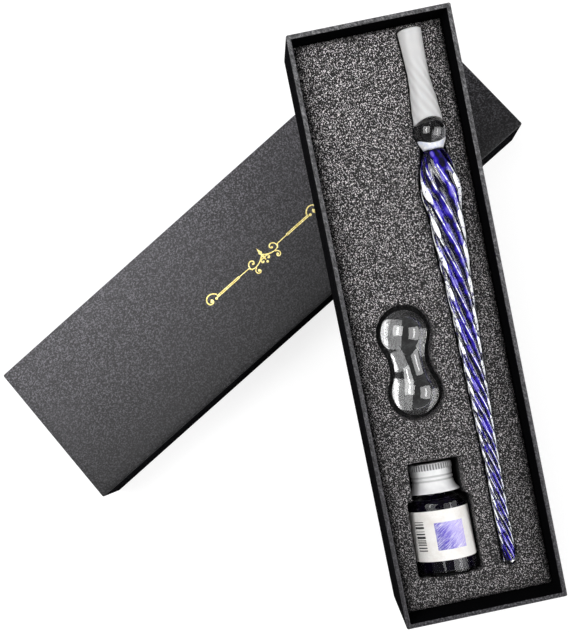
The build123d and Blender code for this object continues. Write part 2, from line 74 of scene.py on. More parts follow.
# Pen: middle of its ball in the tray's frame, then places from there towards the tail
PEN_BALL = (14.9, 64.2, 24.5)
PEN_YAW = 0.7
BALL_RADIUS = 5.5
NIB_START = 4.6
NIB_TIP = 30.4
NIB_RADII = [(4.6, 3.2), (8.0, 3.75), (14.0, 3.05), (20.0, 2.25), (26.0, 1.15), (30.4, 0.35)]
NIB_FLUTES = 8
NIB_VALLEY = 0.84
NIB_TWIST = 9.0
NECK_START = 3.9
NECK_END = 6.2
BARREL_RADII = [(6.2, 3.4), (10.0, 5.1), (15.0, 6.5), (20.6, 7.15), (28.5, 6.05), (40.0, 5.65), (53.0, 4.85),
                (72.0, 4.05), (93.6, 3.4), (126.6, 2.62), (155.0, 2.4)]
BARREL_END = 155.0
TAIL_RADIUS = 2.11
LOBES = 8
LOBE_UNEVEN = 0.02
LOBE_VALLEYS = [(7.0, 1.0), (13.0, 0.96), (20.0, 0.86), (32.0, 0.81), (145.0, 0.81), (155.0, 0.92)]
# Steps along the pen in which its twist turns by one lobe, and a place where a lobe lies at the right edge
LOBE_STEPS = [(28.0, 12.4), (40.0, 11.6), (62.0, 11.3), (73.0, 9.4), (82.0, 8.0), (90.0, 6.6), (105.0, 6.1),
              (119.0, 5.6), (150.0, 4.6)]
LOBE_AT_EDGE = 39.2
PEN_SEGMENTS = 96

# Blue core inside the barrel, its radius as a share of the barrel's
CORE_START = 6.7
CORE_END = 155.6
CORE_SHARES = [(6.7, 0.86), (9.0, 0.84), (150.0, 0.8)]
CORE_VALLEY = 0.88

# Painted highlights as glowing white threads in the lobes, as shares of the radius: a broken strand under each
# crest, leaves at both edges
STRAND_PLACE = 0.93
STRAND_START = 12.0
STRAND_END = 150.5
LEAF_PLACE = 0.86
LEAF_TALL = 0.1
LEAF_WIDE = 0.2
LEAF_LENGTH = 0.92
LEAF_FIRST = 16.0
LEAF_SIZES = [(60.0, 1.0), (100.0, 0.85), (150.0, 0.5)]
LEAF_FORWARD = radians(19)
LEAF_LEANS = (0.6, 1.6)
TAIL_DROP_START = 154.3
TAIL_DROP_LENGTH = 1.7
TAIL_DROP_OUT = 0.5
TAIL_DROP_ANGLE = radians(20)
TAIL_DROP_RADIUS = 0.6

# Soft sleeve
SLEEVE_RADII = [(3.4, 5.15), (10.0, 4.65), (20.5, 3.7), (28.0, 3.85), (36.0, 4.2)]
SLEEVE_WALL = 0.5
SLEEVE_SWING = 1.3
SLEEVE_SEGMENTS = 72
SLEEVE_RIPPLES = 9
SLEEVE_RIPPLE_TURN = 0.13
SLEEVE_RIPPLE_HEIGHT = 0.07
SLEEVE_SMOOTH_FROM = 20.0
SLEEVE_HOLLOW = 1.3
SLEEVE_HOLLOW_LENGTH = 3.0

# Pen rest
REST_LENGTH = 38.3
REST_LOBE = 8.35
REST_WAIST = 5.8
REST_FOOT = 3.65
# The ground foot isn't quite square to the lobes: its rise per millimetre across and along, and where it starts
REST_SLANT = (-0.075, 0.03)
REST_SLANT_FROM = 19.0
REST_SEGMENTS = 96

# Bottle and cap, from the bottle's base along its axis
BOTTLE_RADIUS = 11.0
INK_OVERLAP = 0.05
CAP_HIGH = 39.65
CAP_LOW = 29.0
CAP_WALL = 0.35
CAP_RINGS = (4.4, 5.9)
CAP_RIDGES = 46
KNURL_HEIGHT = 2.5
KNURL_RADIUS = 8.0
LABEL_PAPER = 0.1
PRINT_FILM = 0.03
# The square's low and high edge and its angles round the bottle, then the bars as (distance down, height)
SQUARE = (9.3, 18.9, -20.0, 36.0)
BARS = [(0.0, 0.25), (0.75, 0.4), (1.7, 0.75), (3.3, 0.2), (4.1, 0.5), (5.1, 0.85), (6.4, 0.25), (6.9, 0.3),
        (7.45, 0.3), (8.0, 0.35), (9.0, 0.45), (10.0, 0.4)]
BAR_SWEEP = 21.0
BARS_BELOW_TOP = 0.4


def joint(name):
    return next(item for item in frame["joints"] if item["name"] == name)


def smooth(stations, place):
    """Value at a place on a smooth curve through (place, value) stations, with no overshoot."""
    places, values = zip(*stations)
    last = len(places) - 1
    if place <= places[0]:
        return values[0]
    if place >= places[last]:
        return values[last]
    rises = [(values[k + 1] - values[k]) / (places[k + 1] - places[k]) for k in range(last)]
    slopes = [rises[0]]
    for k in range(1, last):
        same_way = rises[k - 1] * rises[k] > 0
        slopes.append(2 * rises[k - 1] * rises[k] / (rises[k - 1] + rises[k]) if same_way else 0.0)
    slopes.append(rises[-1])
    k = max(i for i in range(last) if places[i] <= place)
    span = places[k + 1] - places[k]
    t = (place - places[k]) / span
    start = (1 + 2 * t) * (1 - t) ** 2 * values[k] + t * (1 - t) ** 2 * span * slopes[k]
    end = t * t * (3 - 2 * t) * values[k + 1] + t * t * (t - 1) * span * slopes[k + 1]
    return start + end


def fade(place, full, gone):
    """1 up to a place, 0 from a further one on, and even between them."""
    return max(0.0, min(1.0, (gone - place) / (gone - full)))


def arc(centre, radius, angles):
    """Points on a circle at angles in degrees."""
    return [(centre[0] + radius * cos(radians(a)), centre[1] + radius * sin(radians(a))) for a in angles]


def axes_matrix(across, along, out, origin):
    matrix = Matrix((across, along, out)).transposed().to_4x4()
    matrix.translation = origin
    return matrix


def mesh_points(mesh):
    flat = np.zeros(len(mesh.vertices) * 3)
    mesh.vertices.foreach_get("co", flat)
    return flat.reshape(-1, 3)


def node_points(node):
    return mesh_points(frame["nodes"][node].data)


def tray_frame():
    """The tray's own frame: X across it, Y along it, Z out of it, from the middle of its underside."""
    corners = np.unique(node_points("tray_lining").round(6), axis=0)
    centre = corners.mean(axis=0)
    along = Vector(np.linalg.svd(corners - centre)[2][0])
    if along.y < 0:
        along.negate()
    out = Vector(joint("pen_lift")["axis"]).normalized()
    across = along.cross(out).normalized()
    lining_middle = (PAPER + BOARD + PAPER / 2) * MM
    return axes_matrix(across, out.cross(across), out, Vector(centre) - out * lining_middle)


def bottle_frame():
    """The bottle's own frame: Z towards its cap, -Y upwards, from the middle of its base."""
    axis = Vector(joint("cap_turn")["axis"]).normalized()
    top = Vector(joint("cap_turn")["pos_m"])
    up = Vector(joint("bottle_lift")["axis"]).normalized()
    low = min((Vector(p) - top).dot(axis) for p in node_points("bottle_glass"))
    return axes_matrix(axis.cross(up), -up, axis, top + axis * low)


TRAY = tray_frame()
BOTTLE = bottle_frame()
PEN = TRAY @ Matrix.Translation(Vector(PEN_BALL) * MM) @ Matrix.Rotation(radians(-PEN_YAW), 4, "Z") \
    @ Matrix.Rotation(radians(90), 4, "X")
SLEEVE = PEN @ Matrix.Rotation(radians(SLEEVE_SWING), 4, "Y")


def extents(node, place):
    """Lowest and highest corner of a node in a frame, in millimetres."""
    inverse = place.inverted()
    points = np.array([inverse @ Vector(p) for p in node_points(node)]) / MM
    return points.min(axis=0), points.max(axis=0)


# Materials

class Shading:
    """The shader of a material or of the world, and the nodes that feed it."""

    def __init__(self, data, shader):
        data.use_nodes = True
        self.data = data
        self.tree = data.node_tree
        self.shader = self.tree.nodes[shader]

    def feed(self, socket, value):
        if isinstance(value, bpy.types.NodeSocket):
            self.tree.links.new(value, socket)
        else:
            socket.default_value = value

    def fill(self, node, inputs):
        for key, value in inputs.items():
            self.feed(node.inputs[key.replace("_", " ")], value)

    def add(self, kind, **inputs):
        node = self.tree.nodes.new("ShaderNode" + kind)
        self.fill(node, inputs)
        return node

    def dress(self, **inputs):
        """Gives the shader values or links by name, with _ for a space."""
        self.fill(self.shader, inputs)
        return self.data

    def place(self):
        return self.add("TexCoord").outputs["Object"]

    def stretched(self, vector, scale, turn=(0, 0, 0)):
        turned = self.add("Mapping", Vector=vector, Rotation=turn).outputs["Vector"]
        return self.add("Mapping", Vector=turned, Scale=scale).outputs["Vector"]

    def noise(self, size, detail=2.0, rough=0.5, vector=None):
        """Noise with features of a size in millimetres."""
        source = vector or self.place()
        node = self.add("TexNoise", Vector=source, Scale=1 / (size * MM), Detail=detail, Roughness=rough)
        return node.outputs["Fac"]

    def cells(self, size):
        """Distance from the middles of cells of a size in millimetres."""
        return self.add("TexVoronoi", Vector=self.place(), Scale=1 / (size * MM)).outputs["Distance"]

    def ramp(self, value, *stops):
        """Colours along a value, as (place, colour) stops."""
        node = self.add("ValToRGB", Fac=value)
        band = node.color_ramp
        while len(band.elements) < len(stops):
            band.elements.new(0.5)
        for element, (place, colour) in zip(band.elements, stops):
            element.position = place
            element.color = (*colour, 1)
        return node.outputs["Color"]

    def levels(self, value, low, high, to_low=0.0, to_high=1.0):
        node = self.add("MapRange")
        for socket, item in zip(node.inputs, (value, low, high, to_low, to_high)):
            self.feed(socket, item)
        return node.outputs["Result"]

    def math(self, operation, a, b):
        node = self.add("Math")
        node.operation = operation
        self.feed(node.inputs[0], a)
        self.feed(node.inputs[1], b)
        return node.outputs[0]

    def mix(self, factor, a, b, blend="MIX"):
        """Colours mixed by a factor, in the colour sockets of a Mix node, which are known by number only."""
        node = self.add("Mix")
        node.data_type = "RGBA"
        node.blend_type = blend
        self.feed(node.inputs[0], factor)
        self.feed(node.inputs[6], a)
        self.feed(node.inputs[7], b)
        return node.outputs[2]

    def painted_shade_along_tray(self, near, far):
        """A level that changes evenly from the tray's near end to its far end."""
        node = self.add("VectorMath")
        node.operation = "DOT_PRODUCT"
        self.feed(node.inputs[0], self.place())
        self.feed(node.inputs[1], TRAY.col[1].xyz)
        middle = TRAY.translation.dot(TRAY.col[1].xyz)
        reach = SHADE_REACH * MM
        return self.levels(node.outputs["Value"], middle - reach, middle + reach, near, far)

    def attribute(self, name):
        node = self.add("Attribute")
        node.attribute_name = name
        return node.outputs["Fac"]

    def bump(self, height, depth, strength):
        """Relief of a depth in millimetres."""
        return self.add("Bump", Strength=strength, Distance=depth * MM, Height=height).outputs["Normal"]


def principled(name, **inputs):
    made = Shading(bpy.data.materials.new(name), "Principled BSDF")
    made.dress(**inputs)
    return made


def speckled(name, size, detail, stops, relief=None, **inputs):
    """A material whose colour follows one noise, and its relief too where given as (depth, strength)."""
    made = principled(name, **inputs)
    grain = made.noise(size, detail=detail)
    if relief:
        made.dress(Normal=made.bump(grain, *relief))
    return made.dress(Base_Color=made.ramp(grain, *stops))


def grey(value):
    return (value, value, value * 1.03)


def warm(value):
    return (value, value * 0.95, value * 0.965)


def bluish(value):
    return (value, value * 0.96, value * 1.08)


def wrap_paper():
    """Black leather-grained paper, rubbed light and fibrous along its edges, partly as a painted highlight on
    the rim; it also carries painted shade and a painted sheen.
    """
    made = principled("wrap_paper")
    grain = made.noise(0.6, detail=3, rough=0.65)
    broad = made.noise(38, detail=2)
    shade = made.attribute("shade")
    base = made.ramp(grain, (0.36, bluish(0.0036)), (0.5, bluish(0.022)), (0.64, bluish(0.118)))
    base = made.mix(made.levels(broad, 0.35, 0.65, 0.0, 0.3), base, (0.035, 0.034, 0.038, 1))
    # Painted sheen: the lid's paper is drawn paler towards its back.
    base = made.mix(1.0, base, made.levels(made.attribute("tone_and_painted_light"), 0, 1, 0.36, 1.85), "MULTIPLY")
    # Painted shade: the inner walls and outer sides are drawn nearly black.
    base = made.mix(shade, base, (0.003, 0.003, 0.0035, 1))
    fibres = made.noise(0.55, detail=4, rough=0.7, vector=made.stretched(made.place(), (1, 0.35, 1)))
    # Rubbing and painted highlight: the light fibrous colour of the rim.
    worn_and_lit = made.ramp(fibres, (0.34, grey(0.015)), (0.5, grey(0.1)), (0.68, grey(0.4)))
    scuffs = made.levels(made.noise(2.4, detail=3), 0.3, 0.55, 0.55, 1)
    rub_and_highlight = made.math("MULTIPLY", made.attribute("wear_and_highlight"), scuffs)
    height = made.math("ADD", grain, made.math("MULTIPLY", made.cells(0.9), 0.7))
    return made.dress(Base_Color=made.mix(rub_and_highlight, base, worn_and_lit), Normal=made.bump(height, 0.12, 0.7),
                      Roughness=made.levels(grain, 0.3, 0.7, 0.36, 0.48),
                      Specular_IOR_Level=made.levels(shade, 0, 0.5, 0.28, 0.0))


def inner_paper():
    return speckled("inner_paper", 0.5, 3, ((0.35, grey(0.02)), (0.7, grey(0.05))), (0.04, 0.5), Roughness=0.7)


def greyboard():
    made = principled("greyboard", Roughness=0.9)
    fibre = made.noise(0.8, detail=5, rough=0.7)
    specks = made.levels(made.noise(0.3, detail=2), 0.6, 0.75, 0, 0.6)
    base = made.ramp(fibre, (0.3, (0.17, 0.16, 0.15)), (0.7, (0.3, 0.285, 0.26)))
    return made.dress(Base_Color=made.mix(specks, base, (0.08, 0.075, 0.07, 1)),
                      Normal=made.bump(fibre, 0.06, 0.6))


def foam_material():
    """Black open-cell foam: bright cell walls between dark pores, with a painted shade that darkens it towards
    the tray's near end.
    """
    made = principled("foam_cells", Roughness=0.75)
    drawn = made.stretched(made.place(), (1, 0.5, 1))
    fine = made.noise(0.29, detail=1.5, rough=0.6, vector=drawn)
    coarse = made.noise(1.8, detail=2, rough=0.5)
    wall = made.math("ADD", made.math("MULTIPLY", fine, 0.9), made.math("MULTIPLY", coarse, 0.1))
    wall = made.math("SUBTRACT", wall, made.math("MULTIPLY", made.cells(0.6), 0.1))
    base = made.ramp(wall, (0.44, warm(0.002)), (0.492, warm(0.006)), (0.524, warm(0.09)), (0.55, warm(1.0)))
    # Painted shade: darker towards the tray's near end.
    return made.dress(Base_Color=made.mix(1.0, base, made.painted_shade_along_tray(0.55, 0.9), "MULTIPLY"),
                      Normal=made.bump(wall, 0.5, 0.8))


def painted_shade_foam_material():
    """The black layer at the bottom of the cut-outs, drawn darker than the top layer as painted shade in the
    recesses.
    """
    # Painted shade: the floor of the recesses is drawn near black.
    stops = ((0.4, grey(0.002)), (0.55, grey(0.012)), (0.7, grey(0.05)))
    return speckled("foam_painted_shade", 0.6, 2, stops, (0.3, 0.6), Roughness=0.8)


def foil_material():
    """Bright gold foil that follows the grain of the paper under it."""
    stops = ((0.3, (0.62, 0.46, 0.1)), (0.5, (0.86, 0.72, 0.26)), (0.72, (1.0, 0.92, 0.5)))
    return speckled("gold_foil", 0.5, 3, stops, (0.04, 0.5), Metallic=0.55, Roughness=0.38)


PALE = (0.97, 0.98, 1.0)


def clear_glass(name, ior, gloss, tint, coat=(1.7, 0.05), waves=(4.0, 0.15)):
    """Clear glass; an IOR lower than real glass has keeps what lies in it plain to see.

    Its coat is given as (IOR, roughness), and the waves in its skin as (size, strength).
    """
    made = principled(name, Base_Color=(*tint, 1), Roughness=0.0, IOR=ior, Transmission_Weight=1.0,
                      Coat_Weight=gloss, Coat_IOR=coat[0], Coat_Roughness=coat[1])
    return made.dress(Normal=made.bump(made.noise(waves[0], detail=0), 0.05, waves[1]))


def core_material():
    """Cobalt glass in bands, from nearly black to a bright violet blue; the bands carry a painted shade at the
    core's sides too.
    """
    made = principled("cobalt_glass", Roughness=0.05, IOR=1.1)
    cloud = made.levels(made.noise(3.4, detail=1.5, rough=0.5), 0.3, 0.7, -0.3, 0.3)
    tone_and_painted_light = made.math("ADD", made.attribute("band"), cloud)
    return made.dress(Base_Color=made.ramp(tone_and_painted_light, (0.42, (0.002, 0.001, 0.02)), (0.58, (0.011, 0.003, 0.21)),
                                           (0.8, (0.032, 0.009, 0.66)), (1.0, (0.22, 0.17, 0.8))))


# Painted light: white glass that glows where it is white, for the pen's highlights.
def painted_highlight_material():
    made = principled("glowing_highlight_glass", Roughness=0.2, IOR=1.1, Emission_Color=(1, 1, 1, 1))
    cloud = made.noise(1.1, detail=2, rough=0.6)
    return made.dress(Base_Color=made.ramp(cloud, (0.38, (0.16, 0.14, 0.3)), (0.46, (1.0, 1.0, 1.0))),
                      Emission_Strength=made.levels(cloud, 0.38, 0.46, 0.0, 0.6))


def collar_material():
    """Pale milky glass where the ball meets the barrel."""
    stops = ((0.35, (0.78, 0.82, 0.97)), (0.6, (1.0, 1.0, 1.0)))
    return speckled("milky_glass", 1.2, 2, stops, Roughness=0.3, IOR=1.1)


def sleeve_material():
    """Frosted soft plastic with pale spiral streaks and light rims: its faint glow is painted light, the streaks
    are partly painted light, paler on the ripples' swells, and the light rims are painted highlight.
    """
    # Painted light: a faint glow over the whole sleeve.
    made = principled("frosted_sleeve", IOR=1.45, Transmission_Weight=0.12, Subsurface_Weight=0.7,
                      Subsurface_Scale=4 * MM, Subsurface_Radius=(1, 0.95, 0.9),
                      Emission_Color=(1.0, 0.97, 0.94, 1), Emission_Strength=0.03)
    cloud = made.noise(2.0, detail=3)
    base = made.mix(made.attribute("streak_and_highlight"), (0.8, 0.775, 0.76, 1), (1.0, 0.985, 0.965, 1))
    pale = made.levels(cloud, 0.3, 0.7, 0.0, 0.3)
    return made.dress(Base_Color=made.mix(pale, base, (0.93, 0.91, 0.89, 1)),
                      Roughness=made.levels(cloud, 0.3, 0.7, 0.34, 0.5),
                      Normal=made.bump(made.noise(0.5, detail=2), 0.03, 0.3))


def ink_material():
    stops = ((0.3, (0.001, 0.0006, 0.003)), (0.7, (0.004, 0.002, 0.01)))
    return speckled("violet_ink", 6, 2, stops, Roughness=0.08, IOR=1.1)


def label_material():
    """Cream label paper with faint brown stains."""
    made = principled("label_paper", Roughness=0.55)
    fibre = made.noise(0.5, detail=4, rough=0.6)
    stain = made.levels(made.noise(5, detail=3), 0.5, 0.75, 0, 0.3)
    base = made.ramp(fibre, (0.3, (0.88, 0.86, 0.83)), (0.7, (0.97, 0.95, 0.925)))
    return made.dress(Base_Color=made.mix(stain, base, (0.62, 0.55, 0.47, 1)),
                      Normal=made.bump(fibre, 0.02, 0.3))


def print_material():
    return speckled("black_print", 0.4, 2, ((0.35, grey(0.025)), (0.75, grey(0.09))), Roughness=0.6)


def square_material():
    """Violet wash with pale diagonal strokes, darkest at its low left corner and lilac at its right."""
    made = principled("violet_wash", Roughness=0.5)
    flat = made.add("UVMap").outputs["UV"]
    axes = made.add("SeparateXYZ", Vector=flat)
    lean = made.stretched(flat, (1.1, 60.0, 1), (0, 0, radians(-40)))
    strokes = made.add("TexNoise", Vector=lean, Scale=1.9, Detail=2.5, Roughness=0.6, Distortion=0.3)
    corner = made.math("ADD", made.math("MULTIPLY", axes.outputs["X"], 0.8),
                       made.math("MULTIPLY", axes.outputs["Y"], 0.25))
    wash = made.ramp(corner, (0.1, (0.045, 0.03, 0.42)), (0.4, (0.13, 0.09, 0.6)), (0.62, (0.4, 0.34, 0.82)),
                     (0.9, (0.52, 0.44, 0.88)))
    bare = made.levels(strokes.outputs["Fac"], 0.53, 0.58)
    return made.dress(Base_Color=made.mix(bare, wash, (0.92, 0.9, 0.97, 1)))


def cap_material():
    """Pale spun aluminium, with painted shade in the grooves of its knurl and rings."""
    made = principled("spun_aluminium", Metallic=0.05)
    base = made.ramp(made.noise(2.5, detail=3), (0.3, (0.8, 0.8, 0.81)), (0.7, (0.9, 0.9, 0.9)))
    return made.dress(Base_Color=made.mix(made.attribute("painted_groove_shade"), base, (0.06, 0.06, 0.065, 1)),
                      Roughness=made.levels(made.noise(0.6, detail=3), 0.3, 0.7, 0.5, 0.62),
                      Normal=made.bump(made.noise(0.35, detail=2), 0.02, 0.35))


def liner_material():
    return speckled("liner_disc", 0.6, 2, ((0.3, (0.8, 0.8, 0.79)), (0.7, (0.9, 0.9, 0.89))), Roughness=0.6)


# Mesh helpers

def linked(name, data):
    """A new object in the scene."""
    made = bpy.data.objects.new(name, data)
    bpy.context.scene.collection.objects.link(made)
    return made


def piece(name, points, faces, place, material, body, sharp=35.0):
    """An object from points in millimetres in a frame of its own, riding on a body."""
    to_row = place @ Matrix.Scale(MM, 4)
    mesh = bpy.data.meshes.new(name)
    mesh.from_pydata([to_row @ Vector(p) for p in points], [], faces)
    work = bmesh.new()
    work.from_mesh(mesh)
    bmesh.ops.remove_doubles(work, verts=work.verts, dist=0.0005 * MM)
    bmesh.ops.recalc_face_normals(work, faces=work.faces)
    work.to_mesh(mesh)
    work.free()
    mesh.shade_smooth()
    mesh.set_sharp_from_angle(angle=radians(sharp))
    mesh.materials.append(material)
    made = linked(name, mesh)
    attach(made, body)
    return made


def around(count):
    """Angles evenly round a circle."""
    return [2 * pi * k / count for k in range(count)]


def ring_faces(rings, count, start=0, closed=True):
    """Quads between rings of points that follow each other in one list."""
    faces = []
    steps = count if closed else count - 1
    for k in range(rings - 1):
        for i in range(steps):
            j = (i + 1) % count
            low = start + k * count
            faces.append((low + i, low + j, low + count + j, low + count + i))
    return faces


def closed_stack(rings):
    """Points and faces of a closed body from rings, with a fan at each end."""
    count = len(rings[0])
    points = [p for ring in rings for p in ring]
    faces = ring_faces(len(rings), count)
    for ring_start, ring in ((0, rings[0]), (len(points) - count, rings[-1])):
        points.append(tuple(sum(p[axis] for p in ring) / count for axis in range(3)))
        for i in range(count):
            faces.append((ring_start + i, ring_start + (i + 1) % count, len(points) - 1))
    return points, faces


def joined(bodies):
    """One list of points and one of faces from several pairs of them."""
    points = []
    faces = []
    for more, quads in bodies:
        faces += [tuple(corner + len(points) for corner in quad) for quad in quads]
        points += more
    return points, faces


def lathe(profile, segments, change):
    """Rings about Z from a profile of (radius, height); change moves a point to another such pair."""
    rings = []
    for radius, height in profile:
        ring = []
        for angle in around(segments):
            out, up = change(radius, height, angle)
            ring.append((out * cos(angle), out * sin(angle), up))
        rings.append(ring)
    return rings


def set_attribute(made, name, place, value_at):
    """A number for each vertex, worked out from where it is in a frame of its own, in millimetres."""
    inverse = place.inverted()
    values = [value_at(inverse @ vertex.co / MM) for vertex in made.data.vertices]
    made.data.attributes.new(name, "FLOAT", "POINT").data.foreach_set("value", values)


# Boxes

def rounded_rectangle(half_x, half_y, radius, height, steps=5):
    ring = []
    for corner, (side_x, side_y) in enumerate(((1, 1), (-1, 1), (-1, -1), (1, -1))):
        centre = (side_x * (half_x - radius), side_y * (half_y - radius))
        angles = [90 * (corner + k / steps) for k in range(steps + 1)]
        ring += [(x, y, height) for x, y in arc(centre, radius, angles)]
    return ring


def wrap_profile(height):
    """Side of the paper wrap as (inset, height), from its outer floor round the rim to its inner floor."""
    centre = height - RIM_ROUND
    profile = [(PANEL_INSET, 0.0)]
    profile += arc((EDGE_ROUND, EDGE_ROUND), EDGE_ROUND, (270, 248, 225, 202, 180))
    profile += [(0.0, height * share) for share in (0.25, 0.5, 0.75)]
    profile += arc((RIM_ROUND, centre), RIM_ROUND, (180, 150, 120, 90))
    profile += arc((WALL - RIM_ROUND, centre), RIM_ROUND, (90, 60, 30, 0))
    profile += [(WALL, height - TURN_IN), (WALL - PAPER, height - TURN_IN), (WALL - PAPER, height - 1.0),
                (PAPER, height - 1.0), (PAPER, 1.0), (PANEL_INSET, PAPER)]
    return profile


def wrap_piece(name, node, body, place, material, side_shade, front_painted_light):
    """Paper wrap of a box that opens upwards in its own frame: painted shade darkens its sides and inner walls,
    and a painted sheen makes it paler towards its back.
    """
    low, high = extents(node, place)
    half = (high - low) / 2
    middle = (low + high) / 2
    rings = []
    for inset, z in wrap_profile(high[2] - low[2]):
        radius = max(CORNER_ROUND - inset * 0.5, 0.2)
        ring = rounded_rectangle(half[0] - inset, half[1] - inset, radius, z)
        rings.append([(x + middle[0], y + middle[1], z + low[2]) for x, y, z in ring])
    points, faces = closed_stack(rings)
    made = piece(name, points, faces, place, material, body, sharp=50)
    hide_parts(node)

    def from_side(local):
        return min(half[0] - abs(local.x - middle[0]), half[1] - abs(local.y - middle[1]))

    # Partly rubbing, partly a painted highlight: the rim is drawn lighter, most at the tray's far end.
    def wear_and_highlight(local):
        along = (local.y - low[1]) / (high[1] - low[1])
        on_rim = local.z > high[2] - 0.2 and from_side(local) < WALL
        return RIM_WEAR_AND_HIGHLIGHT[0] + (RIM_WEAR_AND_HIGHLIGHT[1] - RIM_WEAR_AND_HIGHLIGHT[0]) * along ** 1.5 if on_rim else 0.0

    # Painted sheen: a level that rises from the lid's front to its back; the tray's is even.
    def tone_and_painted_light(local):
        return front_painted_light + (1 - 2 * front_painted_light) * (high[1] - local.y) / (high[1] - low[1])

    # Painted shade: inner walls are drawn near black and outer sides darker, for the shade that falls on them.
    def shade(local):
        inner = from_side(local) > WALL - 0.02 and low[2] + 0.1 < local.z < high[2] - 0.3
        outer = from_side(local) < 0.1 and low[2] + 0.4 < local.z < high[2] - 0.2
        return 1.0 if inner else side_shade if outer else 0.0

    set_attribute(made, "wear_and_highlight", place, wear_and_highlight)
    set_attribute(made, "tone_and_painted_light", place, tone_and_painted_light)
    set_attribute(made, "shade", place, shade)


def boxes(paper):
    wrap_piece("tray_paper", "tray_wrap", "tray", TRAY, paper, side_shade=0.85, front_painted_light=0.5)
    low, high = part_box("lid_wrap")
    upside_down = Matrix.Translation(Vector((0, 0, high[2]))) @ Matrix.Rotation(pi, 4, "X")
    wrap_piece("lid_paper", "lid_wrap", "lid", upside_down, paper, side_shade=0.5, front_painted_light=0.0)


# Foil ornament, a plain traditional divider: (X along the lid, Y across it) from its middle

def spiral(centre, start_radius, end_radius, start, sweep, steps=40):
    """Points of a spiral that winds in, angles in degrees."""
    points = []
    for k in range(steps + 1):
        share = k / steps
        radius = start_radius * exp(share * log(end_radius / start_radius))
        angle = radians(start + sweep * share)
        points.append((centre[0] + radius * cos(angle), centre[1] + radius * sin(angle)))
    return points


def bend(start, control, end, steps=12):
    """Points of a simple curve that leans towards its control point."""
    points = []
    for k in range(steps + 1):
        t = k / steps
        points.append(tuple((1 - t) ** 2 * a + 2 * t * (1 - t) * c + t * t * b
                            for a, c, b in zip(start, control, end)))
    return points


def half_ornament():
    """Strokes of the right half as (points, width at the start, width at the end)."""
    strokes = [
        (spiral((26.6, -0.3), 3.45, 0.4, 170, -440), 0.5, 0.62),
        (spiral((4.9, 0.1), 2.5, 0.35, -52, 340), 0.42, 0.6),
        (spiral((4.9, -3.8), 1.55, 0.35, 95, -400), 0.4, 0.5),
        (spiral((1.3, -2.1), 1.2, 0.25, 140, -330), 0.4, 0.4),
        (bend((0.3, 0.1), (2.0, -1.6), (4.9, -1.9)), 0.55, 0.4),
        (bend((4.9, -1.9), (6.8, -1.9), (7.3, -0.5)), 0.45, 0.35),
        ([(7.2, -0.5), (12.4, -0.4)], 0.36, 0.36),
        ([(12.2, -0.12), (23.6, -0.12)], 0.36, 0.42),
        ([(12.2, -0.68), (24.0, -0.68)], 0.36, 0.42),
    ]
    dots = [((24.3, -0.72), 0.55), ((26.7, -0.45), 0.42), ((4.95, -0.2), 0.4), ((4.95, -3.8), 0.38),
            ((1.35, -2.1), 0.3)]
    return strokes, dots


def middle_ornament():
    """The bud and its stem as (place across the lid, width), and the drop under them."""
    bud = [(3.5, 0.1), (2.6, 0.45), (1.7, 1.05), (1.2, 1.5), (0.8, 1.1), (0.4, 0.5)]
    stem = [(0.5, 0.6), (-0.6, 0.9), (-1.6, 0.6), (-2.3, 0.35)]
    return [bud, stem], [((0.0, -3.25), 0.5)]


def strip(points, widths, low, high):
    """A flat strip with thickness along points in the plane."""
    vertices = []
    last = len(points) - 1
    for k, (x, y) in enumerate(points):
        before = points[max(k - 1, 0)]
        after = points[min(k + 1, last)]
        way = Vector((after[0] - before[0], after[1] - before[1])).normalized()
        half = widths[k] / 2
        for side, height in ((1, low), (1, high), (-1, high), (-1, low)):
            vertices.append((x - way.y * half * side, y + way.x * half * side, height))
    faces = ring_faces(len(points), 4)
    faces += [(3, 2, 1, 0), tuple(4 * last + k for k in range(4))]
    return vertices, faces


def ornament_shapes():
    """Every stroke and dot as (points, widths)."""
    shapes = []
    strokes, dots = half_ornament()
    for side in (-1, 1):
        for points, first, final in strokes:
            count = len(points) - 1
            widths = [first + (final - first) * k / count for k in range(count + 1)]
            shapes.append(([(side * x, y) for x, y in points], widths))
    bars, drops = middle_ornament()
    for bar in bars:
        shapes.append(([(0.0, y) for y, width in bar], [width for y, width in bar]))
    all_dots = drops + dots + [((-x, y), r) for (x, y), r in dots]
    for (x, y), radius in all_dots:
        steps = 8
        across = [radius * cos(pi * k / steps) for k in range(steps + 1)]
        widths = [2 * sqrt(max(radius ** 2 - a * a, 1e-6)) for a in across]
        shapes.append(([(x + a, y) for a in across], widths))
    return shapes


ORNAMENT_AT = (0.0, -2.0)
FOIL_THICKNESS = 0.05
FOIL_SINK = 0.02
# Each stroke is a hair higher than the one before, so that no two share a face
FOIL_STEP = 0.0006


def ornament(material):
    low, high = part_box("lid_wrap")
    centre = Vector(((low[0] + high[0]) / 2, (low[1] + high[1]) / 2, high[2]))
    place = Matrix.Translation(centre + Vector((*ORNAMENT_AT, 0)) * MM)
    bodies = []
    for index, (points, widths) in enumerate(ornament_shapes()):
        bodies.append(strip(points, widths, -FOIL_SINK, FOIL_THICKNESS + FOIL_STEP * index))
    made = piece("foil_ornament", *joined(bodies), place, material, "lid")
    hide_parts("lid_foil_flourish")


# Foam

FOAM_VOXEL = 0.6
FOAM_RELIEF = 0.22
PORE_SCALE = 1.3
PORE_SINK = 0.25


